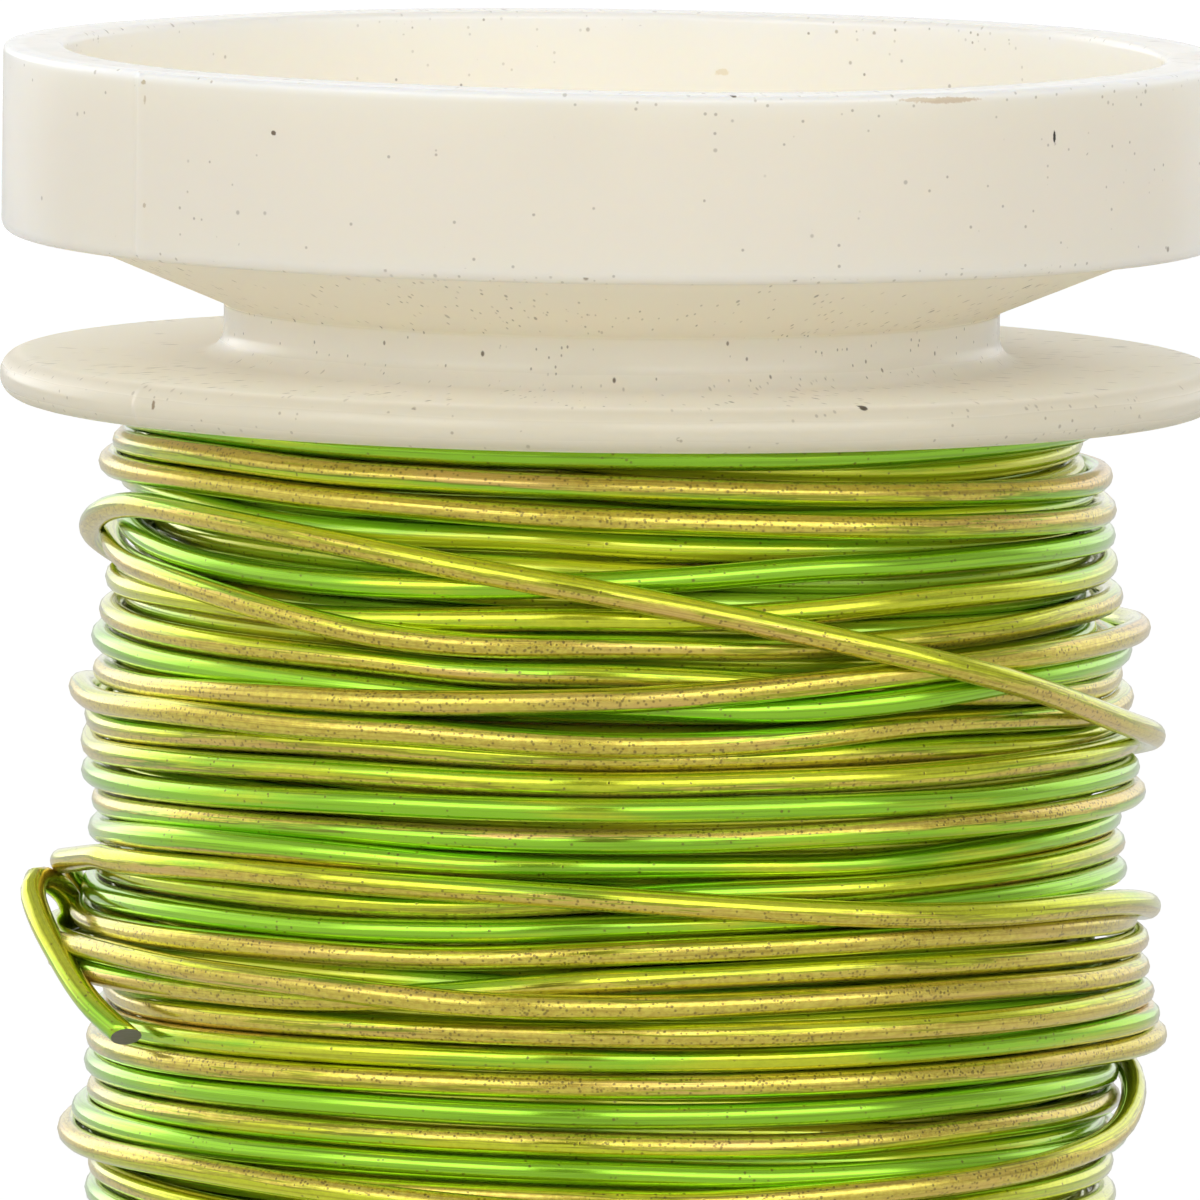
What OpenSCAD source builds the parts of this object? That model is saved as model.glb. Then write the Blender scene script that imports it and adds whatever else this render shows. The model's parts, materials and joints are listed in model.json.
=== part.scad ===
// Small spool of coloured craft wire, standing on its lower cup.
// Two equal end mouldings are pressed onto a barrel tube, and the wire is wound between their
// flanges. All sizes are in millimetres. +Z runs up along the spool's axis and z = 0 is the
// standing rim. The front of the spool faces -Y.

/* [End mouldings] */
// Outer diameter of the cups and the flanges
end_d = 24; // [22.5:0.5:40]
// Height of the cup's straight outer wall
cup_h = 3.7; // [3.2:0.1:8]
// Thickness of the cup's wall
cup_wall = 1.2; // [0.8:0.1:1.8]
// Width of the flat ring under the cup's wall
skirt_w = 1.1; // [0.7:0.1:1.6]
// Fall of the cone from the flat ring to the neck
cone_h = 1.35; // [0.8:0.05:1.8]
// Thickness of the cup's floor, measured along the axis
floor_t = 0.95; // [0.7:0.05:1.3]
// Diameter of the neck in the tie-off groove
neck_d = 15.24; // [14.6:0.1:18]
// Height of the tie-off groove at its mouth
groove_h = 2.37; // [2:0.05:4]
// Thickness of the flange
flange_t = 0.88; // [0.7:0.02:1.6]
// Rounding of the rim's two edges
rim_round = 0.15; // [0.05:0.05:0.3]
// Rounding of the cup wall's lower edge
skirt_round = 0.25; // [0.1:0.05:0.4]
// Fillet between the neck and the flange
neck_fillet = 0.5; // [0.2:0.1:0.8]

/* [Barrel tube] */
// Bore that a spindle goes through
bore_d = 11; // [8:0.2:11.4]
// Wall of the barrel tube
tube_wall = 1; // [0.6:0.1:1.2]
// Thickness of the lip that stops the tube in each end
lip_t = 0.45; // [0.3:0.05:0.8]
// Step from the bore back to the lip's own hole
lip_step = 0.2; // [0.1:0.05:0.4]

/* [Winding] */
// Room for the wire between the two flanges
winding_w = 21; // [15:0.5:40]
// Diameter over the outer layer of turns, half way up
winding_d = 20.4; // [16:0.1:20.6]
// How much lower the winding's surface lies at the flanges
winding_drop = 0.45; // [0:0.05:0.8]
// Diameter of the wire
wire_d = 0.5; // [0.4:0.05:0.6]
// Least gap between neighbouring turns of the outer layer
turn_gap = 0.42; // [0.42:0.01:0.8]

/* [Last turns] */
// Depth of the slack turn's middle below the upper flange
slack_mid_h = 4.3; // [4.2:0.1:5]
// How far the slack turn tilts up and down from its middle
slack_tilt_h = 2.95; // [1:0.05:3]
// Depth of the last turn's middle below the upper flange
last_mid_h = 9.3; // [9:0.05:10.5]
// How far the last turn tilts up and down from its middle
last_tilt_h = 1.1; // [0.5:0.05:1.6]

/* [Clearances] */
// Between the tube and the end it is pressed into
seat_gap = 0.02; // [0.01:0.01:0.05]
// Between the wire and what it is wound on
wire_gap = 0.1; // [0.05:0.01:0.15]

/* [Hidden] */

PLASTIC = [0.93, 0.91, 0.85];
TUBE_PLASTIC = [0.88, 0.86, 0.8];
WIRE = [0.6, 0.68, 0.2];
WIRE_SHADE = [0.42, 0.5, 0.12];

ARC_STEPS = 6;          // straight steps in a small rounding
CORE_STEPS = 24;        // straight steps in the winding's crowned outline
LOOP_RINGS = 24;        // rings of the wire's tube in one turn
RING_STEP = 360 / LOOP_RINGS;
BEND_STEP = 22.5;       // angle from ring to ring in the bend off the lower flange
WIRE_SIDES = 6;

end_r = end_d / 2;
cup_in_r = end_r - cup_wall;
cone_r = end_r - skirt_w;
neck_r = neck_d / 2;
edge_r = flange_t / 2;
floor_z = cup_h + cone_h - floor_t;
flange_z = cup_h + groove_h;
end_h = flange_z + flange_t;
spool_h = 2 * end_h + winding_w;

bore_r = bore_d / 2;
tube_r = bore_r + tube_wall;
seat_r = tube_r + seat_gap;
lip_r = bore_r + lip_step;
tube_z = floor_z + lip_t;

wire_r = wire_d / 2;
mid_z = spool_h / 2;
top_flange_z = spool_h - end_h;
pitch_least = wire_d + turn_gap;
bend_r = 0.8 * wire_d;                      // of the turn off the lower flange
first_turn_z = end_h + wire_d + bend_r;
top_turn_depth = wire_r + wire_gap;         // of the layer's last turn below the upper flange
layer_run = top_flange_z - top_turn_depth - first_turn_z;
layer_loops = min(22, floor(layer_run / pitch_least));

// Angles round the spool are counted from the front, towards +X. The wire runs the other way.
climb_a = -105;         // where the outer layer ends and the last turns begin
climb_turn = 30;        // the wire has climbed onto the layer after this much more
slack_low_a = 120;      // where the slack turn hangs lowest
slack_from = -105;      // the wire falls into the slack turn between these two angles
slack_to = -195;
last_low_a = 145;       // where the last turn hangs lowest
last_from = -440;       // the wire passes from the slack turn to the last turn between these
last_to = -560;
rise_from = -735;       // the wire starts to lift off the winding towards its kink
kink_a = -810;
on_layer = 1.2;         // lift of a turn that lies on the layer, in wire diameters
at_kink = 2.3;

// The cut tail: angle, fall below the kink and lift off the layer, both in wire diameters.
TAIL = [
    [-813.5, 1, 2.5],
    [-812, 1.7, 2.6],
    [-804, 2.5, 2.5],
    [-796, 3.6, 2.2],
    [-788, 5.1, 1.8],
    [-781, 6.5, 1.4]
];

// ---- shapes in the plane -------------------------------------------------------------------

// Points of an arc about c, from angle a0 to a1.
function arc(c, r, a0, a1) = [
    for (i = [0:ARC_STEPS]) let (a = a0 + (a1 - a0) * i / ARC_STEPS)
        [c.x + r * cos(a), c.y + r * sin(a)]
];

// Half section of one end as it stands on its rim: radius, height.
function end_outline() = concat(
    arc([cup_in_r + rim_round, rim_round], rim_round, 180, 270),
    arc([end_r - rim_round, rim_round], rim_round, 270, 360),
    arc([end_r - skirt_round, cup_h - skirt_round], skirt_round, 0, 90),
    [[cone_r, cup_h], [neck_r, cup_h + cone_h]],
    arc([neck_r + neck_fillet, flange_z - neck_fillet], neck_fillet, 180, 90),
    arc([end_r - edge_r, flange_z + edge_r], edge_r, -90, 90),
    [[seat_r, end_h], [seat_r, tube_z], [lip_r, tube_z], [lip_r, floor_z]],
    [[neck_r, floor_z], [cup_in_r, floor_z - cone_h * (cup_in_r - neck_r) / (cone_r - neck_r)]]
);

// Radius of the winding's plain core at a height: crowned, and falling towards the flanges.
function core_r(z) =
    winding_d / 2 - wire_d - wire_gap - winding_drop * pow(abs(z - mid_z) * 2 / winding_w, 4);

// ---- the wire's routes ---------------------------------------------------------------------

function ease(s) = let (t = min(1, max(0, s))) t * t * (3 - 2 * t);
function ease_between(a, from, to) = ease((a - from) / (to - from));
function mix(a, b, s) = a + (b - a) * s;

// Radius of the outer layer's centre line. The rings stand far enough out for the straight
// stretches between them to clear the core.
function layer_r(z) = (core_r(z) + wire_gap + wire_r) / cos(RING_STEP / 2);

// A point at an angle and a height, lifted off the outer layer by some wire diameters.
function on_winding(a, z, lift) =
    let (r = layer_r(z) + lift * wire_d) [r * sin(a), -r * cos(a), z];

// The outer layer leaves the lower flange square to it, bends over and climbs turn by turn.
START_R = layer_r(first_turn_z);
START_A = climb_a + layer_loops * 360;
function off_flange(q) =
    let (a = START_A + bend_r * cos(q) / START_R * 180 / PI)
        [START_R * sin(a), -START_R * cos(a), end_h + wire_d + bend_r * sin(q)];

// It ends in a short straight stretch, where the last turns carry on face to face.
JOIN_WAY = [-cos(climb_a), -sin(climb_a), 0];
JOIN = on_winding(climb_a, top_flange_z - top_turn_depth, 0) + wire_d * JOIN_WAY;
function layer_route() = concat(
    [off_flange(0) - [0, 0, wire_d]],
    [for (q = [0:BEND_STEP:90 - BEND_STEP]) off_flange(q)],
    [
        for (i = [0:layer_loops * LOOP_RINGS])
            on_winding(
                START_A - i * RING_STEP,
                first_turn_z + layer_run * i / (layer_loops * LOOP_RINGS), 0
            )
    ],
    [JOIN]
);

// Depth of the last turns below the upper flange, at an angle.
function slack_depth(a) = slack_mid_h + slack_tilt_h * cos(a - slack_low_a);
function last_depth(a) = last_mid_h + last_tilt_h * cos(a - last_low_a);
function turns_depth(a) = mix(
    mix(top_turn_depth, slack_depth(a), ease_between(a, slack_from, slack_to)),
    last_depth(a), ease_between(a, last_from, last_to)
);
function turns_lift(a) = mix(
    on_layer * ease_between(a, climb_a, climb_a - climb_turn),
    at_kink, ease_between(a, rise_from, kink_a)
);
kink_z = top_flange_z - turns_depth(kink_a);
function last_route() = concat(
    [JOIN, JOIN + wire_d * JOIN_WAY],
    [
        for (a = [climb_a - RING_STEP:-RING_STEP:kink_a])
            on_winding(a, top_flange_z - turns_depth(a), turns_lift(a))
    ],
    [for (s = TAIL) on_winding(s[0], kink_z - s[1] * wire_d, s[2])]
);

// ---- a tube along a route ------------------------------------------------------------------

function unit(v) = v / norm(v);
function ahead(p, i) = unit(p[min(i + 1, len(p) - 1)] - p[max(i - 1, 0)]);
function outward(v, t) = let (r = [v.x, v.y, 0]) unit(r - (r * t) * t);
function ring(p, i) =
    let (t = ahead(p, i), n = outward(p[i], t), b = cross(t, n))
        [
            for (k = [0:WIRE_SIDES - 1]) let (a = 360 * k / WIRE_SIDES)
                p[i] + wire_r * (cos(a) * n + sin(a) * b)
        ];

// One unbroken tube of triangles.
module wire_tube(p) {
    n = WIRE_SIDES;
    last = (len(p) - 1) * n;
    points = [for (i = [0:len(p) - 1]) each ring(p, i)];
    walls = [
        for (i = [0:len(p) - 2], k = [0:n - 1])
            let (a = i * n + k, b = i * n + (k + 1) % n) each [[a, a + n, b], [b, a + n, b + n]]
    ];
    caps = [for (k = [1:n - 2]) each [[0, k, k + 1], [last, last + k + 1, last + k]]];
    polyhedron(points, concat(walls, caps));
}

// Least gap between stretches of a route that lie a third of a turn or more apart.
function least_gap(p) = min([
    for (i = [0:len(p) - 1], j = [i + LOOP_RINGS / 3:1:len(p) - 1]) norm(p[i] - p[j])
]) - wire_d;

// ---- the pieces ----------------------------------------------------------------------------

module spool_end() {
    rotate_extrude($fn = 96) polygon(end_outline());
}

module bottom_end() {
    color(PLASTIC) spool_end();
}

module top_end() {
    color(PLASTIC) translate([0, 0, spool_h]) mirror([0, 0, 1]) spool_end();
}

module barrel_tube() {
    color(TUBE_PLASTIC) translate([0, 0, tube_z]) difference() {
        cylinder(r = tube_r, h = spool_h - 2 * tube_z, $fn = 96);
        translate([0, 0, -1]) cylinder(r = bore_r, h = spool_h, $fn = 96);
    }
}

module wire_inner_winding() {
    crown = [
        for (i = [0:CORE_STEPS]) let (z = end_h + winding_w * i / CORE_STEPS) [core_r(z), z]
    ];
    foot_r = tube_r + wire_gap;
    color(WIRE_SHADE) rotate_extrude($fn = 96)
        polygon(concat(crown, [[foot_r, top_flange_z], [foot_r, end_h]]));
}

module wire_outer_layer() {
    echo(loops = layer_loops, least_gap = least_gap(layer_route()));
    color(WIRE) wire_tube(layer_route());
}

module wire_last_turns() {
    echo(least_gap = least_gap(last_route()));
    color(WIRE) wire_tube(last_route());
}

top_end();
bottom_end();
barrel_tube();
wire_inner_winding();
wire_outer_layer();
wire_last_turns();
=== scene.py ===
"""Looks of a small craft-wire spool: milky plastic ends and a hand-wound, lime-gold coated wire.

All working sizes are in millimetres and become metres when a mesh is made. Angles round the spool
are in degrees from the front (-Y) towards +X. Depths are measured down from the upper rim.
"""

import json
import math

import bpy
import numpy as np
from mathutils import Matrix, Vector

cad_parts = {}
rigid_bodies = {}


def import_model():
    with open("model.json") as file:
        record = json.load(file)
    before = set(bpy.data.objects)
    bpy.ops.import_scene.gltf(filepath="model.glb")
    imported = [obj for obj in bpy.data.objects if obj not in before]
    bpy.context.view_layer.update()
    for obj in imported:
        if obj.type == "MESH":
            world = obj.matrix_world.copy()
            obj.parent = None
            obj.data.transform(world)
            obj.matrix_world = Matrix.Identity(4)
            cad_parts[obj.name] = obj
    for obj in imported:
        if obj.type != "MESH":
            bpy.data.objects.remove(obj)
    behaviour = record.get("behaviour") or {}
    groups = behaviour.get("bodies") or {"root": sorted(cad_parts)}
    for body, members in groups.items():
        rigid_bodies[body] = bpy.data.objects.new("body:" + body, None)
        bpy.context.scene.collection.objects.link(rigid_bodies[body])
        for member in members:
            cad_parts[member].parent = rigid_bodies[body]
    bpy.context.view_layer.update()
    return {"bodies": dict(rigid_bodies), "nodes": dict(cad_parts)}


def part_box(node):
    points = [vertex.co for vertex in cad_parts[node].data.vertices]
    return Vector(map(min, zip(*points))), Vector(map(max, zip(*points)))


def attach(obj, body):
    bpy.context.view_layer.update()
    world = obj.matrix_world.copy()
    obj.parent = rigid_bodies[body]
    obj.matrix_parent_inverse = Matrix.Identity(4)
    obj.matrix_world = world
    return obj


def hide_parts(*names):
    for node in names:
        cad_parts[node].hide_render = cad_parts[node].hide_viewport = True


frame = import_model()

MM = 0.001
SEED = 11
BODY = next(iter(frame["bodies"]))
random = np.random.default_rng(SEED)


# ---- sizes, from the frame where it holds them --------------------------------------------------


def box_mm(node):
    """A node's lowest and highest corner."""
    low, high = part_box(node)
    return np.array(low) / MM, np.array(high) / MM


END_LOW, END_HIGH = box_mm("top_end")
WIND_LOW, WIND_HIGH = box_mm("wire_inner_winding")
RIM_Z = END_HIGH[2]
END_R = END_HIGH[0]
END_H = END_HIGH[2] - END_LOW[2]
LOW_FLANGE_Z = WIND_LOW[2]
HIGH_FLANGE_Z = WIND_HIGH[2]
MID_Z = (LOW_FLANGE_Z + HIGH_FLANGE_Z) / 2
TUBE_R = box_mm("barrel_tube")[1][0]

CUP_WALL = 1.2
CUP_H = 3.7
SKIRT_W = 1.1  # width of the flat ring under the cup's wall
CONE_H = 1.35
FLOOR_T = 0.95
NECK_R = 7.62
GROOVE_H = 2.37
LIP_T = 0.45
LIP_R = 5.7
SEAT_GAP = 0.02
SEAT_R = TUBE_R + SEAT_GAP

WIRE_D = 0.5
WIRE_R = WIRE_D / 2
WIRE_GIRTH = 1.57  # round the wire


# ---- the camera ---------------------------------------------------------------------------------

CAMERA_FAR = 458.0  # from the point that it aims at
CAMERA_UP = 5.4  # degrees above level
CAMERA_ROLL = 0.75  # degrees
AIM = np.array([-0.16, 0, RIM_Z - 10.87])
FRAME_W = 23.58  # width of the picture at the spool's axis
PICTURE = 1200  # pixels across and down the picture
SENSOR_W = 36
CLIP = (0.01, 20)  # nearest and farthest, in metres


def camera_axes():
    """The camera's right, up and back directions."""
    up, roll = math.radians(CAMERA_UP), math.radians(CAMERA_ROLL)
    level = np.array([1, 0, 0])
    rise = np.array([0, math.sin(up), math.cos(up)])
    right = math.cos(roll) * level + math.sin(roll) * rise
    return right, math.cos(roll) * rise - math.sin(roll) * level, np.cross(level, rise)


RIGHT, UP, BACK = camera_axes()
EYE = AIM + CAMERA_FAR * BACK


def seen_at(x, y, r):
    """Angle and height where the picture's point (x, y) shows a cylinder of this radius."""
    across = RIGHT * (x / PICTURE - 0.5) + UP * (0.5 - y / PICTURE)
    ray = AIM + across * FRAME_W - EYE
    a = ray[:2] @ ray[:2]
    b = ray[:2] @ EYE[:2]
    c = EYE[:2] @ EYE[:2] - r * r
    reach = (-b - math.sqrt(max(b * b - a * c, 0))) / a
    point = EYE + reach * ray
    return math.degrees(math.atan2(point[0], -point[1])), point[2]


def make_camera():
    """A camera with a long lens, at the picture's viewing angle."""
    data = bpy.data.cameras.new("photo_camera")
    data.sensor_width = SENSOR_W
    data.lens = data.sensor_width * CAMERA_FAR / FRAME_W
    data.clip_start, data.clip_end = CLIP
    camera = bpy.data.objects.new("photo_camera", data)
    bpy.context.scene.collection.objects.link(camera)
    camera.location = Vector(EYE) * MM
    camera.rotation_euler = Matrix(np.column_stack([RIGHT, UP, BACK])).to_euler()
    bpy.context.scene.camera = camera


# ---- meshes -------------------------------------------------------------------------------------


def make_mesh(name, points, faces, material, smooth=True):
    """A mesh object from points in millimetres."""
    mesh = bpy.data.meshes.new(name)
    mesh.from_pydata((np.asarray(points) * MM).tolist(), [], [list(map(int, f)) for f in faces])
    mesh.materials.append(material)
    mesh.polygons.foreach_set("use_smooth", [smooth] * len(mesh.polygons))
    mesh.validate()
    mesh.update()
    piece = bpy.data.objects.new(name, mesh)
    bpy.context.scene.collection.objects.link(piece)
    return piece


ARC_STEP = 12  # degrees from one point of an arc to the next


def rounded_outline(corners):
    """A closed outline from (radius, height, rounding) corners, each rounding drawn as an arc."""
    points = []
    count = len(corners)
    for i, (r, z, rounding) in enumerate(corners):
        here = np.array([r, z])
        back = np.array(corners[i - 1][:2]) - here
        ahead = np.array(corners[(i + 1) % count][:2]) - here
        back /= np.linalg.norm(back)
        ahead /= np.linalg.norm(ahead)
        half = math.acos(np.clip(back @ ahead, -1, 1)) / 2
        if rounding <= 0:
            points.append(here)
            continue
        reach = rounding / math.tan(half)
        middle = (back + ahead) / np.linalg.norm(back + ahead)
        centre = here + middle * rounding / math.sin(half)
        start = here + back * reach - centre
        end = here + ahead * reach - centre
        sweep = math.pi - 2 * half
        turn = 1 if start[0] * end[1] - start[1] * end[0] > 0 else -1
        steps = max(2, round(math.degrees(sweep) / ARC_STEP))
        for k in range(steps + 1):
            a = turn * sweep * k / steps
            spin = np.array([[math.cos(a), -math.sin(a)], [math.sin(a), math.cos(a)]])
            points.append(centre + spin @ start)
    return np.array(points)


def lathe(name, outline, angles, material, shape):
    """Turns a closed outline about the spool's axis. shape moves its points."""
    a = np.radians(np.asarray(angles))[:, None]
    r, z = shape(np.degrees(a), outline[None, :, 0] + 0 * a, outline[None, :, 1] + 0 * a)
    points = np.stack([r * np.sin(a), -r * np.cos(a), z], axis=2)
    n, m = points.shape[:2]
    i, k = np.meshgrid(np.arange(n), np.arange(m), indexing="ij")
    i2, k2 = (i + 1) % n, (k + 1) % m
    faces = np.stack([i * m + k, i2 * m + k, i2 * m + k2, i * m + k2], axis=2).reshape(-1, 4)
    return make_mesh(name, points.reshape(-1, 3), faces, material)


# ---- shader helpers -----------------------------------------------------------------------------


class Nodes:
    """A short way to write a material's nodes."""

    def __init__(self, tree):
        self.tree = tree
        tree.nodes.clear()

    def add(self, kind, inputs=None, **settings):
        node = self.tree.nodes.new(kind)
        for key, value in settings.items():
            setattr(node, key, value)
        for key, value in (inputs or {}).items():
            self.put(value, node.inputs[key])
        return node

    def put(self, value, socket):
        if isinstance(value, bpy.types.NodeSocket):
            self.tree.links.new(value, socket)
        else:
            socket.default_value = value

    def math(self, operation, a, b=0.0):
        return self.add("ShaderNodeMath", {0: a, 1: b}, operation=operation).outputs[0]

    def product(self, a, b):
        return self.math("MULTIPLY", a, b)

    def total(self, a, b):
        return self.math("ADD", a, b)

    def difference(self, a, b):
        return self.math("SUBTRACT", a, b)

    def mix(self, factor, a, b, blend="MIX"):
        node = self.add("ShaderNodeMix", data_type="RGBA", blend_type=blend)
        self.put(factor, node.inputs["Factor"])
        self.put(a, node.inputs["A"])
        self.put(b, node.inputs["B"])
        return node.outputs["Result"]

    def between(self, value, low, high, out_low=0.0, out_high=1.0, smooth=True):
        node = self.add(
            "ShaderNodeMapRange",
            {0: value, 1: low, 2: high, 3: out_low, 4: out_high},
            interpolation_type="SMOOTHSTEP" if smooth else "LINEAR",
        )
        return node.outputs[0]

    def noise(self, vector, scale, detail=3.0, rough=0.5):
        inputs = {"Vector": vector, "Scale": scale, "Detail": detail, "Roughness": rough}
        return self.add("ShaderNodeTexNoise", inputs).outputs["Fac"]


def srgb(r, g, b):
    """A colour as it is named on screen, 0 to 255, in linear values."""
    def line(c):
        c /= 255
        return c / 12.92 if c <= 0.04045 else ((c + 0.055) / 1.055) ** 2.4

    return (line(r), line(g), line(b), 1.0)


def new_material(name):
    material = bpy.data.materials.new(name)
    material.use_nodes = True
    return material, Nodes(material.node_tree)


# The marks that the picture shows on the plastic: angle, depth below the upper rim, half width,
# half height, least radius, greatest radius, colour on screen.
MARKS = (
    (44.9, 1.0, 0.035, 0.15, 11.8, 12.3, (58, 52, 46)),
    (32.2, 0.20, 0.75, 0.06, 11.8, 12.3, (206, 190, 168)),
    (29.0, 0.17, 0.45, 0.04, 11.8, 12.3, (212, 198, 176)),
    (168.5, 1.2, 0.14, 0.07, 10.4, 11.2, (234, 225, 204)),
    (-49.2, 0.22, 0.07, 0.05, 11.8, 12.3, (196, 184, 160)),
    (-49.0, 0.55, 0.035, 0.10, 11.8, 12.3, (206, 196, 176)),
    (-48.9, 2.6, 0.04, 0.05, 11.8, 12.3, (200, 190, 170)),
    (24.4, 6.1, 0.09, 0.05, 11.5, 12.3, (84, 74, 60)),
    (-47.4, 6.45, 0.05, 0.10, 11.8, 12.3, (150, 134, 108)),
    (-33.0, 1.0, 0.05, 0.05, 11.8, 12.3, (120, 106, 86)),
    (11.0, 0.05, 0.07, 0.04, 11.6, 12.3, (96, 84, 68)),
)

WALL_COLOUR = srgb(233, 228, 215)
# Painted light: the cup's wall is paler towards its sides, where it catches the light.
WALL_EDGE_LIGHT_COLOUR = srgb(246, 242, 233)
# Painted shade: the flange's rim is darker and greyer than the cup's wall.
FLANGE_RIM_SHADED_COLOUR = srgb(218, 211, 192)
# Painted light: the cup's inside is paler and cooler than the wall, for light that comes through
# the thin plastic.
CUP_LIT_COLOUR = srgb(246, 242, 233)
# Painted light: the neck, cone and flange top are paler and warmer than the wall, for light that
# comes through the plastic and bounces between its faces.
GROOVE_LIT_COLOUR = srgb(251, 243, 228)
# Painted highlight: a near-white line along the outer rim's top edge.
RIM_HIGHLIGHT_COLOUR = srgb(255, 253, 246)
SPECK_COLOUR = srgb(104, 90, 66)
CLOUDED = (0.97, 0.965, 0.955, 1.0)  # what the faint clouds in the plastic multiply it by
WALL_FROM, WALL_TO = 11.6, 11.85  # radii between the inner surfaces, painted paler for light, and the outer walls
EDGE_LIGHT_FROM = (60, 80)  # degrees from the front where the cup's wall is painted paler, as painted light at its sides
RIM_HIGHLIGHT_H = 0.28  # of the painted highlight along the outer rim's edge
RIM_HIGHLIGHT_FROM, RIM_HIGHLIGHT_TO = 11.5, 11.7  # radii between which it comes up
ROUGH_LEAST, ROUGH_MOST = 0.16, 0.24
LEVEL_ROUGHER = 0.3  # what level surfaces past the cup have more

# Kinds of speck: cells per metre, radius in cells, share of the cells, strength.
SPECKS = ((5200, 0.22, 0.60, 0.6), (3100, 0.18, 0.42, 0.75), (1500, 0.11, 0.32, 0.95))
SPECK_STRETCH = 4  # times as long, towards the rim, on level surfaces


def plastic_material():
    """Milky natural polypropylene: translucent, satin, with fine brown specks and small marks.
    Light and shade are painted into its colour: paler at the wall's sides, inside the cup and round
    the neck, a painted highlight along the outer rim, and darker on the flange's rim.
    """
    material, n = new_material("natural_plastic")
    where = n.add("ShaderNodeTexCoord").outputs["Object"]
    x, y, z = n.add("ShaderNodeSeparateXYZ", {0: where}).outputs
    normal_z = n.add("ShaderNodeSeparateXYZ", {0: n.add("ShaderNodeNewGeometry").outputs["Normal"]})
    level = n.between(n.math("ABSOLUTE", normal_z.outputs[2]), 0.25, 0.85)
    angle = n.math("ARCTAN2", x, n.product(y, -1.0))
    radius = n.math("SQRT", n.total(n.product(x, x), n.product(y, y)))

    from_rim = n.math("MINIMUM", z, n.difference(RIM_Z * MM, z))
    past_cup = n.between(from_rim, (CUP_H - 0.1) * MM, (CUP_H + 0.1) * MM)
    # Painted light: the wall turns paler towards its sides.
    painted_edge_light = n.between(n.math("ABSOLUTE", angle), *map(math.radians, EDGE_LIGHT_FROM))
    wall = n.mix(painted_edge_light, WALL_COLOUR, WALL_EDGE_LIGHT_COLOUR)
    # Painted shade: past the cup, the outer rim is darker and greyer.
    outer = n.mix(past_cup, wall, FLANGE_RIM_SHADED_COLOUR)
    # Painted light: the cup's inside and the groove round the neck are paler than the wall.
    inner = n.mix(past_cup, CUP_LIT_COLOUR, GROOVE_LIT_COLOUR)
    base = n.mix(n.between(radius, WALL_FROM * MM, WALL_TO * MM), inner, outer)
    # A painted highlight along the outer rim's top edge.
    at_rim = n.between(from_rim, 0.0, RIM_HIGHLIGHT_H * MM, 1.0, 0.0)
    rim_highlight = n.product(at_rim, n.between(radius, RIM_HIGHLIGHT_FROM * MM, RIM_HIGHLIGHT_TO * MM))
    base = n.mix(rim_highlight, base, RIM_HIGHLIGHT_COLOUR)
    base = n.mix(n.noise(where, 120, 1), base, CLOUDED, "MULTIPLY")

    # Long specks on level surfaces look round in a low view.
    place = {0: n.product(angle, END_R * MM), 1: n.product(radius, 1 / SPECK_STRETCH), 2: z}
    place = n.add("ShaderNodeCombineXYZ", place).outputs[0]

    def specks(scale, size, share):
        """Dots of many strengths in a share of the cells."""
        cells = n.add("ShaderNodeTexVoronoi", {"Vector": place, "Scale": scale, "Randomness": 1.0})
        chosen = n.add("ShaderNodeSeparateColor", {0: cells.outputs["Color"]})
        near = n.between(cells.outputs["Distance"], size * 0.45, size, 1.0, 0.0)
        few = n.math("LESS_THAN", chosen.outputs[0], share)
        deep = n.between(chosen.outputs[1], 0.0, 1.0, 0.35, 1.0, smooth=False)
        return n.product(n.product(near, few), deep)

    # Specks crowd in places, on level surfaces, past the cup, at the skirt's edge and at the rim.
    crowd = n.between(n.noise(where, 190, 3), 0.40, 0.68, 0.15, 1.0)
    settled = n.total(n.product(level, 1.3), n.product(past_cup, 0.3))
    skirt_edge = n.math("ABSOLUTE", n.difference(from_rim, CUP_H * MM))
    settled = n.total(settled, n.between(skirt_edge, 0.05 * MM, 0.35 * MM, 1.1, 0.0))
    settled = n.total(settled, n.between(from_rim, 0.1 * MM, 0.6 * MM, 0.7, 0.0))
    crowd = n.product(crowd, n.total(0.25, settled))
    dots = 0.0
    for scale, size, share, strength in SPECKS:
        more = n.product(specks(scale, size, n.product(crowd, share)), strength)
        dots = n.math("MAXIMUM", dots, more)
    colour = n.mix(dots, base, SPECK_COLOUR)

    ragged = n.product(n.difference(n.noise(where, 9000, 3, 0.7), 0.5), 1.6)
    for turn, depth, half_width, half_height, least, most, tint in MARKS:
        across = n.product(n.difference(angle, math.radians(turn)), radius)
        across = n.math("DIVIDE", across, half_width * MM)
        high = n.math("DIVIDE", n.difference(z, (RIM_Z - depth) * MM), half_height * MM)
        far = n.math("SQRT", n.total(n.product(across, across), n.product(high, high)))
        there = n.between(n.total(far, ragged), 0.7, 1.15, 1.0, 0.0)
        there = n.product(there, n.math("GREATER_THAN", radius, least * MM))
        there = n.product(there, n.math("LESS_THAN", radius, most * MM))
        colour = n.mix(there, colour, srgb(*tint))

    rough = n.noise(where, 400, 1)
    rough = n.between(rough, 0.3, 0.7, ROUGH_LEAST, ROUGH_MOST, smooth=False)
    rough = n.total(rough, n.product(n.product(level, past_cup), LEVEL_ROUGHER))
    waves = n.add("ShaderNodeBump", {"Strength": 0.2, "Distance": 0.04 * MM})
    n.put(n.noise(where, 420, 2), waves.inputs["Height"])

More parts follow.
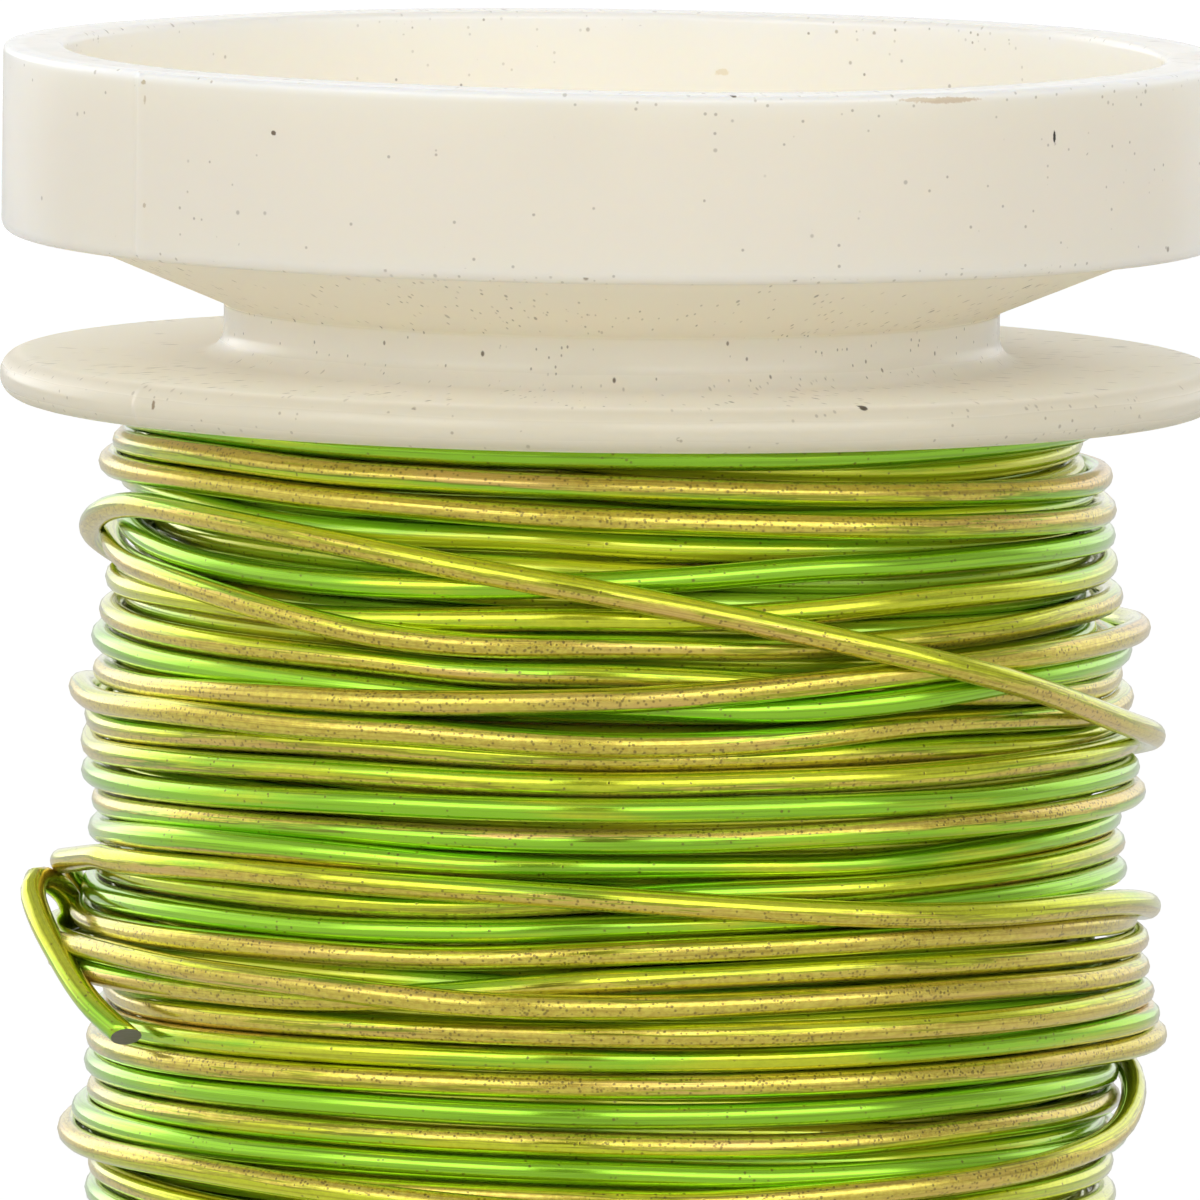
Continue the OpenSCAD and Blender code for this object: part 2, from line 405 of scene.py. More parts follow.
    surface = n.add("ShaderNodeBsdfPrincipled")
    n.put(colour, surface.inputs["Base Color"])
    n.put(rough, surface.inputs["Roughness"])
    n.put(waves.outputs[0], surface.inputs["Normal"])
    surface.inputs["IOR"].default_value = 1.49
    surface.inputs["Subsurface Weight"].default_value = 0.9
    surface.inputs["Subsurface Radius"].default_value = (1.0, 0.88, 0.66)
    surface.inputs["Subsurface Scale"].default_value = 1.3 * MM
    n.add("ShaderNodeOutputMaterial", {"Surface": surface.outputs[0]})
    return material


# Linear colours of the lacquer.
LIME = (0.76, 0.82, 0.03, 1.0)
DEEP_LIME = (0.62, 0.68, 0.02, 1.0)
# Painted light: the wire under the outer turns has a lighter lime, for the light between the outer
# turns.
FRESH_GAP_LIT_LIME = (0.84, 0.88, 0.03, 1.0)
GREEN = (0.34, 0.70, 0.02, 1.0)
DRAWN_LINE = (0.55, 0.5, 0.3, 1.0)  # what the fine lines along the wire multiply it by
# Linear colours of the band where it is worn.
TAN = (0.82, 0.70, 0.10, 1.0)
DEEP_TAN = (0.64, 0.49, 0.06, 1.0)
PINKISH_TAN = (0.80, 0.56, 0.15, 1.0)
# Painted dark reflection: a thin dark line along the worn band's side, as seen below each
# highlight.
PAINTED_DARK_REFLECTION = (0.22, 0.17, 0.01, 1.0)
PIT = (0.16, 0.11, 0.02, 1.0)
# Linear colours of the cut end.
SHEAR_DARK = (0.13, 0.13, 0.14, 1.0)
SHEAR_PALE = (0.34, 0.32, 0.32, 1.0)


def wire_material(name, wear, metal):
    """Colour-lacquered copper wire: a green to lime side, a worn, speckled gold band, and a painted
    dark reflection line beside the band. With little wear, the lime is painted lighter, as light
    between the outer turns.

    The mesh holds the side that the band faces (band_side, radians from outward, up positive), how
    green the lacquer is (green), and a UV map of millimetres along the wire and turns around it.
    """
    material, n = new_material(name)
    uv = n.add("ShaderNodeUVMap", uv_map="wire").outputs[0]
    side = n.add("ShaderNodeAttribute", attribute_name="band_side").outputs["Fac"]
    green = n.add("ShaderNodeAttribute", attribute_name="green").outputs["Fac"]

    def along_wire(per_mm, per_turn):
        """The UV map, scaled for this much detail along the wire and round it."""
        scale = (per_mm, per_turn, 1.0)
        return n.add("ShaderNodeMapping", {"Vector": uv, "Scale": scale}).outputs[0]

    streaks = n.noise(along_wire(0.30, 11.0), 1.0, 4, 0.65)
    scuff = n.noise(along_wire(6.0, 14.0), 1.0, 5, 0.7)
    hue_drift = n.noise(along_wire(0.14, 2.0), 1.0, 3)
    band_drift = n.noise(along_wire(0.09, 1.0), 1.0, 2)
    lines = n.noise(along_wire(0.16, 26.0), 1.0, 3, 0.6)
    wobble = n.difference(streaks, 0.5)

    around = n.add("ShaderNodeSeparateXYZ", {0: uv}).outputs[1]
    around = n.product(n.difference(around, 0.5), 2 * math.pi)
    facing = n.math("COSINE", n.difference(around, side))
    facing = n.total(facing, n.product(wobble, 1.8))
    facing = n.total(facing, n.product(n.difference(band_drift, 0.5), 1.6))
    worn = n.between(facing, 0.58, 0.72, 0.0, wear)
    # Painted dark reflection: a thin dark line beside the worn band.
    dark_reflection = n.product(n.between(facing, 0.42, 0.54), n.between(facing, 0.58, 0.68, wear, 0.0))

    tone = n.total(green, n.product(n.difference(hue_drift, 0.5), 2.8))
    tone = n.total(tone, n.product(wobble, 1.3))
    lime = n.mix(n.between(scuff, 0.3, 0.7), LIME, DEEP_LIME)
    # Where wear is low, the lime is painted lighter, for light between the outer turns.
    lime = n.mix(wear, FRESH_GAP_LIT_LIME, lime)
    lacquer = n.mix(n.between(tone, 0.25, 0.85), lime, GREEN)
    tan = n.mix(n.between(scuff, 0.35, 0.65), TAN, DEEP_TAN)
    tan = n.mix(n.between(hue_drift, 0.5, 0.68), tan, PINKISH_TAN)
    colour = n.mix(worn, lacquer, tan)
    # The painted dark reflection line is laid over the colour here.
    colour = n.mix(n.product(dark_reflection, 0.6), colour, PAINTED_DARK_REFLECTION)
    drawn = n.between(lines, 0.36, 0.52, 0.6, 0.0)
    colour = n.mix(drawn, colour, DRAWN_LINE, "MULTIPLY")

    def pits(per_mm, size, share):
        """Dots in a share of the cells. size is their radius in cells."""
        place = along_wire(per_mm, per_mm * WIRE_GIRTH)
        cells = n.add("ShaderNodeTexVoronoi", {"Vector": place})
        cells.inputs["Scale"].default_value = 1.0
        chosen = n.add("ShaderNodeSeparateColor", {0: cells.outputs["Color"]}).outputs[0]
        dot = n.between(cells.outputs["Distance"], size * 0.5, size, 1.0, 0.0)
        return n.product(dot, n.math("LESS_THAN", chosen, share))

    # Pits crowd in places, and nearly all of them are in the worn band.
    crowd = n.between(n.noise(along_wire(0.45, 3.0), 1.0, 3), 0.32, 0.56)
    crowd = n.product(crowd, n.between(worn, 0.0, 1.0, 0.10, 1.0, smooth=False))
    small = pits(11.0, 0.42, n.product(crowd, 0.95))
    large = pits(4.8, 0.20, n.total(0.03, n.product(crowd, 0.3)))
    pit = n.math("MAXIMUM", n.product(small, 0.9), large)
    colour = n.mix(n.product(pit, 0.75), colour, PIT)

    rough = n.between(worn, 0.0, 1.0, 0.11, 0.21, smooth=False)
    rough = n.total(rough, n.product(scuff, 0.06))

    height = n.total(n.product(streaks, 0.6), n.product(scuff, 0.2))
    height = n.total(height, n.product(lines, 0.3))
    height = n.difference(height, n.product(pit, 0.4))
    bump = n.add("ShaderNodeBump", {"Strength": 0.3, "Distance": 0.02 * MM, "Height": height})

    surface = n.add("ShaderNodeBsdfPrincipled")
    n.put(colour, surface.inputs["Base Color"])
    n.put(rough, surface.inputs["Roughness"])
    n.put(bump.outputs[0], surface.inputs["Normal"])
    surface.inputs["Metallic"].default_value = metal
    surface.inputs["Coat Weight"].default_value = 0.55
    surface.inputs["Coat IOR"].default_value = 1.52
    surface.inputs["Coat Roughness"].default_value = 0.07
    n.add("ShaderNodeOutputMaterial", {"Surface": surface.outputs[0]})
    return material


def cut_material():
    """Bare end of the wire where it was nipped off: dull grey copper with shear lines."""
    material, n = new_material("cut_copper")
    where = n.add("ShaderNodeTexCoord").outputs["Object"]
    lines = n.add("ShaderNodeMapping", {"Vector": where, "Scale": (1.0, 1.0, 9.0)}).outputs[0]
    shear = n.noise(lines, 4000, 3)
    surface = n.add("ShaderNodeBsdfPrincipled")
    n.put(n.mix(shear, SHEAR_DARK, SHEAR_PALE), surface.inputs["Base Color"])
    n.put(n.between(shear, 0.2, 0.8, 0.35, 0.6), surface.inputs["Roughness"])
    surface.inputs["Metallic"].default_value = 0.8
    n.add("ShaderNodeOutputMaterial", {"Surface": surface.outputs[0]})
    return material


# ---- plastic ends -------------------------------------------------------------------------------

SEAM_A = -49.8  # the mould's parting line, and again on the far side
SEAM_H = 0.035
SEAM_W = 0.09
SEAM_MOST = 0.03  # the most that it stands out past the outer walls
SECTION_STEP = 2.0  # degrees between the sections of an end
SEAM_SECTIONS = (0.12, 0.3, 0.55, 0.9)  # degrees from the parting line to the sections beside it
RIM_WAVES = ((2, 30, 0.02), (5, 0, 0.012))  # how many round the rim, degrees ahead, height
RIM_LIFT = 0.034  # keeps the waves off the floor
RIM_REACH = 1.0  # from the rim to where the waves have faded


def end_corners():
    """Half section of one end as it stands on its rim."""
    cone_r = END_R - SKIRT_W
    cup_in_r = END_R - CUP_WALL
    flange_z = CUP_H + GROOVE_H
    floor_z = CUP_H + CONE_H - FLOOR_T
    fall = CONE_H / (cone_r - NECK_R)
    return [
        (cup_in_r, 0.0, 0.16),
        (END_R, 0.0, 0.14),
        (END_R, CUP_H, 0.25),
        (cone_r, CUP_H, 0.12),
        (NECK_R, CUP_H + CONE_H, 0.12),
        (NECK_R, flange_z, 0.5),
        (END_R, flange_z, 0.43),
        (END_R, END_H, 0.43),
        (SEAT_R, END_H, 0.06),
        (SEAT_R, floor_z + LIP_T, 0.0),
        (LIP_R, floor_z + LIP_T, 0.04),
        (LIP_R, floor_z, 0.08),
        (NECK_R, floor_z, 0.3),
        (cup_in_r, floor_z - fall * (cup_in_r - NECK_R), 0.45),
    ]


def end_angles():
    """Angles of the sections: even ones, and closer ones at the two parting lines."""
    even = np.arange(0, 360, SECTION_STEP)
    beside = np.array(SEAM_SECTIONS)
    near = np.concatenate([-beside, beside, [0.0]])
    seams = np.concatenate([SEAM_A + near, SEAM_A + 180 + near]) % 360
    far = np.abs((even[:, None] - seams[None, :] + 180) % 360 - 180).min(1)
    return np.sort(np.concatenate([even[far > 0.3 * SECTION_STEP], seams]))


def moulded(a, r, z):
    """The outline with the parting line's ridge and very slight waves round the rim."""
    off = np.abs((a - SEAM_A + 90) % 180 - 90)
    ridge = SEAM_H * np.exp(-((np.radians(off) * r / SEAM_W) ** 2))
    on_walls = np.clip((r - END_R + SKIRT_W) * 4, 0, 1)
    wave = sum(high * np.sin(np.radians(count * a + ahead)) for count, ahead, high in RIM_WAVES)
    at_rim = np.clip(1 - z / RIM_REACH, 0, 1)
    return np.minimum(r + ridge * on_walls, END_R + SEAM_MOST), z + (wave + RIM_LIFT) * at_rim


def plastic_end(name, node, material, upside_down):
    """One end moulding in place of its node. The upper end stands upside down on its rim."""
    outline = rounded_outline(end_corners())

    def shape(a, r, z):
        r, z = moulded(a, r, z)
        return (r, RIM_Z - z) if upside_down else (r, z)

    piece = lathe(name, outline, end_angles(), material, shape)
    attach(piece, BODY)
    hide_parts(node)


# ---- the winding --------------------------------------------------------------------------------

# A turn is followed in even steps from the place, at the back left, where the wire's end leaves the
# outer turns.
START_A = -105.0
STEPS = 96
STEP_A = 360 / STEPS
TURN_A = START_A + np.arange(STEPS) * STEP_A

LAYER_STEP = 0.44  # from one layer's radius to the next one's
FLANGE_GAP = 0.01
LEAST_Z = LOW_FLANGE_Z + WIRE_R + FLANGE_GAP
MOST_Z = HIGH_FLANGE_Z - WIRE_R - FLANGE_GAP
OUTER_R = 10.12  # over the outer turns half way up
OUTER_DROP = 0.5  # how much lower they lie at the flanges
LOWER_SIDES, OUTER_SIDES, END_SIDES = 8, 12, 16  # faces round the wire's mesh
# The two layers under the outer turns: pitch, how far their turns wander, and how far they slide.
LOWER_LAYERS = ((0.503, 0.0, 0.0), (0.512, 0.12, 0.25))
LOWER_RUN = 38  # steps from one bend of their wander to the next

# The outer turns that the picture shows, from the upper flange down. Each has the side that its
# worn gold band faces (0 outward, 90 up), how green its lacquer is, and the height of its middle
# in the picture at each of these columns.
COLUMNS = (95, 200, 350, 600, 800, 950, 1105)
FRONT_TURNS = (
    (-160, 0.9, (420, 431, 444, 461, 465, 457, 437)),
    (45, 0.6, (436, 451, 475, 490, 499, 499, 489)),
    (25, 0.4, (464, 481, 503, 522, 526, 523, 513)),
    (-130, 1.0, (518, 572, 590, 590, 574, 557, 539)),
    (-100, 0.3, (583, 606, 620, 622, 608, 600, 579)),
    (-25, 0.3, (535, 590, 630, 650, 646, 631, 608)),
    (-45, 0.4, (612, 646, 662, 679, 684, 688, 685)),
    (170, 1.0, (641, 668, 690, 714, 704, 684, 661)),
    (10, 0.3, (674, 687, 694, 706, 684, 662, 636)),
    (-50, 0.3, (718, 733, 747, 764, 759, 752, 728)),
    (-20, 0.6, (694, 706, 725, 749, 741, 717, 707)),
    (-60, 0.4, (743, 758, 771, 783, 783, 774, 744)),
    (180, 0.9, (768, 790, 804, 812, 805, 795, 767)),
    (70, 0.8, (796, 815, 828, 837, 829, 818, 792)),
    (-100, 0.7, (826, 832, 849, 872, 868, 851, 817)),
    (-80, 0.4, (868, 890, 901, 902, 890, 874, 842)),
    (170, 0.9, (893, 915, 926, 926, 912, 897, 867)),
    (-10, 0.3, (918, 943, 955, 950, 941, 936, 919)),
    (-40, 0.4, (960, 988, 996, 976, 965, 958, 943)),
    (0, 0.3, (936, 965, 990, 1000, 1000, 992, 966)),
    (-30, 0.4, (985, 1012, 1022, 1030, 1026, 1017, 990)),
    (110, 0.6, (1010, 1037, 1048, 1057, 1054, 1044, 1015)),
    (20, 0.3, (1035, 1062, 1074, 1084, 1080, 1071, 1041)),
    (-150, 1.0, (1061, 1088, 1101, 1114, 1110, 1100, 1078)),
    (40, 0.4, (1087, 1116, 1133, 1149, 1146, 1134, 1106)),
    (180, 1.0, (1108, 1140, 1162, 1178, 1174, 1161, 1134)),
    (-20, 0.2, (1136, 1170, 1192, 1204, 1192, 1172, 1128)),
)
# The last of them rises behind the right side as a loose loop: angle and depth below the rim.
LOOSE_LOOP = ((82, 20.4), (95, 19.8), (120, 19.9), (160, 20.9))
LOW_END_OF_PICTURE = RIM_Z - 21.4  # where the turns below the picture begin
LOW_PITCH = 0.53  # of the turns below the picture
PICTURE_R = 10.0  # centre radius of the turns that are read from the picture
# An outer turn keeps to its heights at the front and is free at the back.
FREE_FROM, FREE_TO = 80, 140  # degrees from the front
FRONT_SLACK, BACK_SLACK = 0.07, 0.2  # how far it may slide up or down
BACK_WANDER, BACK_RUN = 0.10, 30  # how far it wanders, and the steps from one bend to the next

# A turn slides into the grooves under it, as their slope drives it, and is then drawn tight.
SLIDES = 24
SLIDE = 0.02
PROBE = 0.03  # half the height over which the slope is felt
STEEPEST = 1.5
PULLS = 28


class Heap:
    """The turns laid so far, as height and radius at each step of a turn."""

    def __init__(self):
        self.z = np.empty((STEPS, 0))
        self.r = np.empty((STEPS, 0))

    def rest_r(self, steps, z, ground):
        """Radius at which wire at these steps and heights lies on what is under it."""
        off = np.abs(z[:, None] - self.z[steps])
        lift = np.sqrt(np.clip(WIRE_D**2 - off**2, 0, None))
        over = np.where(off < WIRE_D, self.r[steps] + lift, 0)
        return np.maximum(ground(steps, z), over.max(1, initial=0))

    def lay(self, aim, slack, ground):
        """Lays one turn near the aimed heights and lets it slide into the grooves under it."""
        steps = np.arange(STEPS)
        # It goes on from the turn before, unless it starts at the other flange.
        follows = self.z.size and abs(self.z[-1, -1] - aim[0]) < 2 * WIRE_D
        lead_z = self.z[-1, -1] if follows else aim[0]
        z = np.clip(aim, LEAST_Z, MOST_Z)
        for _ in range(SLIDES):
            rise = self.rest_r(steps, z + PROBE, ground) - self.rest_r(steps, z - PROBE, ground)
            z = z - SLIDE * np.clip(rise / (2 * PROBE), -STEEPEST, STEEPEST)
            z = evened(np.clip(z, aim - slack, aim + slack), passes=2, lead=lead_z)
            z = np.clip(z, LEAST_Z, MOST_Z)
        under = self.rest_r(steps, z, ground)
        lead_r = self.r[-1, -1] if follows else under[0]
        r = under
        for _ in range(PULLS):
            r = np.maximum(under, evened(r, passes=1, lead=lead_r))
        self.z = np.column_stack([self.z, z])
        self.r = np.column_stack([self.r, evened(r, passes=3, lead=lead_r)])


def evened(values, passes, lead=None):
    """Values evened with their neighbours. lead is the value before the first."""
    lead = values[0] if lead is None else lead
    for _ in range(passes):
        around = np.concatenate([[lead], values, values[-1:]])
        values = (around[:-2] + 2 * around[1:-1] + around[2:]) / 4
    return values


# Places at the left where the layers lie low: angle, depth below the rim, reach in degrees and in
# height, and how much lower.
HOLLOWS = ((-80, 9.4, 36, 1.05, 0.9), (-88, 17.8, 28, 1.3, 1.15))


def layer_ground(layers_over):
    """Radius of the ground under a layer that has this many layers over it."""
    def ground(steps, z):
        off = np.abs(z - MID_Z) / (HIGH_FLANGE_Z - MID_Z)
        r = OUTER_R - OUTER_DROP * off**4 - WIRE_R - LAYER_STEP * layers_over
        for a, depth, a_reach, z_reach, fall in HOLLOWS:
            near = ((TURN_A[steps] - a + 180) % 360 - 180) / a_reach
            r = r - fall * np.exp(-(near**2) - ((RIM_Z - z - depth) / z_reach) ** 2)
        return r

    return ground


def wander(count, reach, run):
    """A slow random wander over count steps, with a knot after each run of steps."""
    knots = random.normal(0, reach, count // run + 3)
    at = np.arange(count) / run
    i = at.astype(int)
    t = at - i
    t = t * t * (3 - 2 * t)
    return knots[i] * (1 - t) + knots[i + 1] * t


def lay_lower_layers(heap, ground):
    """The layers under the outer turns, up from the lower flange and down again."""
    laid = 0
    start_z, end_z = LEAST_Z, MOST_Z
    for pitch, reach, slack in LOWER_LAYERS:
        count = int((MOST_Z - LEAST_Z) / pitch)
        aim = np.linspace(start_z, end_z, count * STEPS) + wander(count * STEPS, reach, LOWER_RUN)
        for turn in range(count):
            heap.lay(aim[turn * STEPS : (turn + 1) * STEPS], slack, ground)
        laid += count
        start_z, end_z = end_z, start_z
    return laid


def outer_knots():
    """Step, height, band side and greenness along the outer turns, from the upper flange down."""
    knots = [(0, MOST_Z - 0.05, FRONT_TURNS[0][0], FRONT_TURNS[0][1])]
    for turn, (side, green, heights) in enumerate(FRONT_TURNS):
        for x, y in zip(COLUMNS, heights):
            a, z = seen_at(x, y, PICTURE_R)
            knots.append((turn * STEPS + (a - START_A) / STEP_A, z, side, green))
    for a, depth in LOOSE_LOOP:
        knots.append(((a - START_A) / STEP_A + turn * STEPS, RIM_Z - depth, side, green))
    turn += 1
    count = round((LOW_END_OF_PICTURE - LEAST_Z) / LOW_PITCH)
    for more in range(1, count + 1):
        at = (turn + more - 0.5) * STEPS
        z = LOW_END_OF_PICTURE + (LEAST_Z - LOW_END_OF_PICTURE) * more / count
        knots.append((at, z, random.uniform(-180, 180), random.uniform(0, 1)))
    return np.array(knots), turn + count


def lay_outer_turns(heap, ground):
    """The outer turns, laid as the picture shows them at the front and freely at the back."""
    knots, count = outer_knots()
    steps = np.arange(count * STEPS)
    aim = evened(np.interp(steps, knots[:, 0], knots[:, 1]), passes=10)
    from_front = np.abs((np.tile(TURN_A, count) + 180) % 360 - 180)
    free = np.clip((from_front - FREE_FROM) / (FREE_TO - FREE_FROM), 0, 1)
    free = np.where(steps < len(FRONT_TURNS) * STEPS, free, 1)  # below the picture, all round
    aim = aim + free * wander(len(steps), BACK_WANDER, BACK_RUN)
    slack = FRONT_SLACK + (BACK_SLACK - FRONT_SLACK) * free
    for turn in range(count):
        part = slice(turn * STEPS, (turn + 1) * STEPS)
        heap.lay(aim[part], slack[part], ground)
    side = evened(np.interp(steps, knots[:, 0], knots[:, 2]), passes=8)
    green = evened(np.interp(steps, knots[:, 0], knots[:, 3]), passes=8)
    return count, side, green


def wind():
    """Lays all turns but the wire's end.

    Gives the heap, the counts of lower and outer turns, and the outer turns' band side and green.
    """
    heap = Heap()
    ground = layer_ground(len(LOWER_LAYERS))
    lower = lay_lower_layers(heap, ground)
    outer, side, green = lay_outer_turns(heap, ground)
    return heap, lower, outer, side, green


def heap_route(heap, first, last):
    """Points of the turns from first up to last, end to end."""
    a = np.radians(np.tile(TURN_A, last - first))
    z = evened(heap.z[:, first:last].T.ravel(), passes=1)
    r = evened(heap.r[:, first:last].T.ravel(), passes=1)
    return np.stack([r * np.sin(a), -r * np.cos(a), z], axis=1)


# The wire's end: from the outer turns' top it drops round the back, crosses the front as a slack
# turn, drops again and crosses it as the last turn, then kinks at the left and ends in a cut tail.
# It is followed towards its end, the other way round than the outer turns, so its angles fall.
# The two turns are given by the heights of their middle in the picture, at the same columns.
SLACK_TURN = (495, 521, 549, 591, 630, 667, 724)
LAST_TURN = (861, 865, 881, 896, 911, 915, 897)
TURN_R = 10.45  # centre radius of these two turns, as the picture shows them
BACK_OF_SLACK = ((-165, 10.2), (-200, 13.2), (-235, 14.4))  # angle, depth below the upper rim
BACK_OF_LAST = ((-480, 10.8), (-530, 15.0), (-570, 17.0), (-610, 17.3))
HELD_A = 12  # degrees in which the wire keeps the height at which it leaves the outer turns
END_PULLS = 25
RISE_FROM, KINK_A = -745, -810  # where the last turn rises from the winding, and where it kinks
# Angle, depth below the upper rim and radius of the wire's middle.
TAIL = (
    (-804, 16.03, 10.62),
    (-810, 16.17, 10.66),
    (-816, 16.42, 10.66),
    (-820, 16.83, 10.62),
    (-821, 17.25, 10.58),
    (-818, 17.42, 10.6),
    (-814.5, 17.22, 10.5),
    (-811.5, 16.83, 10.62),
    (-809, 16.55, 10.9),
    (-807, 16.46, 11.15),
    (-805.8, 16.6, 11.24),
    (-804, 16.82, 11.25),
    (-800, 17.23, 11.15),
    (-795.5, 17.72, 11.0),
    (-790.5, 18.21, 10.9),
    (-786, 18.61, 10.8),
    (-780.5, 19.03, 10.65),
)
END_TURNS_SIDE = -50  # where the worn band faces on these turns
TAIL_SIDE = -165  # and on the tail
TAIL_GREEN = 0.62
TAIL_LENGTH = 7.5
CUT_FACES = np.array([0.0, -0.67, -0.74])  # the way that the slanting cut faces
LAST_STEP = 0.3  # between the rings of these turns' mesh


def picture_knots(heights, before):
    """Angle and height along a turn read from the picture, right to left, after some full turns."""
    places = [seen_at(x, y, TURN_R) for x, y in zip(COLUMNS, heights)]
    return [(a - 360 * before, z) for a, z in reversed(places)]


def back_knots(depths):
    """Angle and height along a turn, from angles and depths below the rim."""
    return [(a, RIM_Z - depth) for a, depth in depths]


def last_turns_route(heap, start):
    """Points of the slack turn, the last turn and the tail. start is the outer turns' end."""
    knots = [(START_A, start[2]), (START_A - HELD_A, start[2])]
    knots += back_knots(BACK_OF_SLACK) + picture_knots(SLACK_TURN, 1)
    knots += back_knots(BACK_OF_LAST) + picture_knots(LAST_TURN, 2)
    knots = np.array(knots)
    angles = np.arange(START_A, knots[-1, 0], -STEP_A)
    z = np.interp(-angles, -knots[:, 0], knots[:, 1])
    held = int(HELD_A / STEP_A)
    z = np.concatenate([z[:held], evened(z[held:], passes=14, lead=z[held - 1])])
    steps = np.round((angles - START_A) / STEP_A).astype(int) % STEPS
    under = heap.rest_r(steps, z, layer_ground(0))
    start_r = math.hypot(start[0], start[1])
    under[0] = start_r
    r = under
    for _ in range(END_PULLS):
        r = np.maximum(under, evened(r, passes=1, lead=start_r))
    r = evened(r, passes=4, lead=start_r)
    rising = np.clip((RISE_FROM - angles) / (RISE_FROM - KINK_A), 0, 1)
    r = r + (TAIL[0][2] - r) * rising**2
    a = np.radians(np.concatenate([angles, [p[0] for p in TAIL]]))
    z = np.concatenate([z, [RIM_Z - p[1] for p in TAIL]])
    r = np.concatenate([r, [p[2] for p in TAIL]])
    return np.stack([r * np.sin(a), -r * np.cos(a), z], axis=1)


def resampled(points, step):
    """Points at even steps along a smooth curve through these points."""
    points = np.asarray(points)
    ghost = np.vstack([2 * points[0] - points[1], points, 2 * points[-1] - points[-2]])
    dense = []
    for p0, p1, p2, p3 in zip(ghost, ghost[1:], ghost[2:], ghost[3:]):
        t = np.linspace(0, 1, 8, endpoint=False)[:, None]
        curve = 2 * p1 + (p2 - p0) * t + (2 * p0 - 5 * p1 + 4 * p2 - p3) * t**2
        dense.append((curve + (3 * p1 - p0 - 3 * p2 + p3) * t**3) / 2)
    dense = np.vstack(dense + [points[-1:]])
    along = np.concatenate([[0], np.cumsum(np.linalg.norm(np.diff(dense, axis=0), axis=1))])
    at = np.linspace(0, along[-1], max(2, round(along[-1] / step) + 1))
    return np.stack([np.interp(at, along, dense[:, i]) for i in range(3)], axis=1)


def wire_tube(name, route, sides, material, band_side, green, cut_face=None):
    """A tube along a route, with the place of its worn band, its greenness and a UV map.

    The UV map holds millimetres along the wire and the turn round it, 0.5 on the outer side. Where
    cut_face, a material, is given, the tube ends in a slanting cut.
    """
    ahead = np.gradient(route, axis=0)
    ahead /= np.linalg.norm(ahead, axis=1)[:, None]
    out = route * [1, 1, 0]
    out = out - (out * ahead).sum(1)[:, None] * ahead
    out /= np.linalg.norm(out, axis=1)[:, None]
    up = np.cross(ahead, out)
    up *= np.sign(up[:, 2].mean())
    n = len(route)
    turn = (np.arange(sides) / sides - 0.5) * 2 * math.pi
    ring = np.cos(turn)[:, None] * out[:, None, :] + np.sin(turn)[:, None] * up[:, None, :]
    if cut_face is not None:
        ring[-1] -= np.outer(ring[-1] @ CUT_FACES / (ahead[-1] @ CUT_FACES), ahead[-1])
    points = (route[:, None, :] + WIRE_R * ring).reshape(-1, 3)
    i, k = np.meshgrid(np.arange(n - 1), np.arange(sides), indexing="ij")
    k2 = (k + 1) % sides
    corners = [i * sides + k, i * sides + k2, (i + 1) * sides + k2, (i + 1) * sides + k]
    mirrored = np.cross(ahead[0], out[0]) @ up[0] < 0
    if mirrored:
        corners.reverse()
    walls = np.stack(corners, axis=2).reshape(-1, 4)
    ends = [list(range(sides))[::-1], list(range((n - 1) * sides, n * sides))]
    piece = make_mesh(name, points, walls.tolist() + ends, material)
    if cut_face is not None:
        piece.data.materials.append(cut_face)
        piece.data.polygons[len(walls) + 1].material_index = 1
    for polygon in piece.data.polygons[-2:]:
        polygon.use_smooth = False

    along = np.concatenate([[0], np.cumsum(np.linalg.norm(np.diff(route, axis=0), axis=1))])
    u = [along[i], along[i], along[i + 1], along[i + 1]]
    v = [k / sides, (k + 1) / sides, (k + 1) / sides, k / sides]
    if mirrored:
        u.reverse()
        v.reverse()
    uv = np.stack([np.stack(u, axis=2).reshape(-1), np.stack(v, axis=2).reshape(-1)], axis=1)
    layer = piece.data.uv_layers.new(name="wire")
    layer.data.foreach_set("uv", np.concatenate([uv, np.zeros((2 * sides, 2))]).ravel())
    for key, values in (("band_side", np.radians(band_side)), ("green", green)):
        attribute = piece.data.attributes.new(key, "FLOAT", "POINT")
        attribute.data.foreach_set("value", np.repeat(values, sides).astype(np.float32))
    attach(piece, BODY)
    return piece


# ---- light and ground ---------------------------------------------------------------------------

# Brightness of the light tent round the spool, where 1 is white.
SOFTBOX = 2.35  # a band half way up in front
OVERHEAD = 0.45
LOW_BAND = 0.9  # between the floor and the softbox
SIDE_LEFT = 1.05
SIDE_RIGHT = 0.4
BACK_LEFT = 2.15
BACK_RIGHT = 1.25
BACKDROP = 1.0
CAMERA_DARK = 0.2
# Where one part of the tent gives way to the next: in degrees from the front, and as the height
# or the sideways part of the direction from the spool.
SIDES_FROM = (57, 73)
BACK_FROM = (104, 128)
BACKDROP_FROM = (148, 166)
SOFTBOX_FROM = (0.10, 0.20)
OVERHEAD_FROM = (0.54, 0.68)
RIGHT_FROM = (-0.3, 0.3)
CAMERA_AZIMUTH = -9.0  # middle of the dark camera and its stand, seen from the spool
CAMERA_REACH = (4, 12)
CAMERA_TOP = (0.5, 0.64)
FLOOR_W = 6000
FLOOR_GREY = 0.8
FLOOR_GLOW = 0.38  # for the camera only, so that the floor is white in the picture


